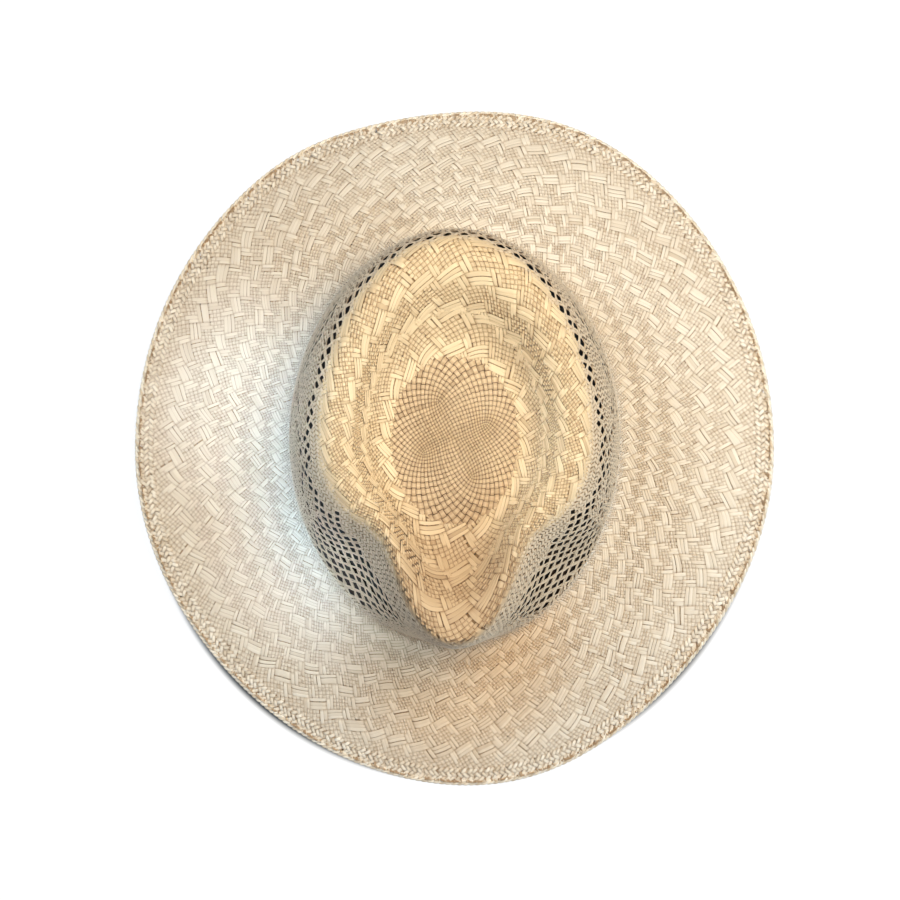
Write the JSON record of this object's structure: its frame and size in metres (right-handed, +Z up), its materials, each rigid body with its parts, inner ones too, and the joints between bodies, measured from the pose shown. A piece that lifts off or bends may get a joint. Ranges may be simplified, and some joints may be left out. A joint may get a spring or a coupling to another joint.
{
  "type": "straw sun hat",
  "caption": "Wide-brimmed woven straw sun hat with a teardrop crown, pinched front, openwork vent band and an inner sweatband.",
  "frame": {"origin": "on the surface the hat stands on, under the middle of the brim's outline", "axes": "+Z up through the crown, -Y towards the pinched front of the hat, +X to its left side as worn"},
  "size_m": [0.326, 0.3503, 0.1342],
  "materials": {
    "straw": "natural woven palm straw, smooth along the strand, slight sheen",
    "straw_edge": "natural palm straw, rolled and plaited",
    "band_leather": "smooth dark brown leather, fine grain",
    "thread": "waxed cotton thread",
    "ribbon": "ribbed dark brown ribbon, matt"
  },
  "bodies": {
    "root": {"crown_rosette": "straw", "crown_dent": "straw", "crown_shoulder": "straw", "vent_band": "straw", "crown_collar": "straw", "brim": "straw", "brim_border": "straw_edge", "brim_edge": "straw_edge", "sweatband": "band_leather", "sweatband_reed": "thread", "sweatband_stitches": "thread", "sweatband_join": "band_leather", "sweatband_bow": "ribbon"}
  },
  "joints": []
}
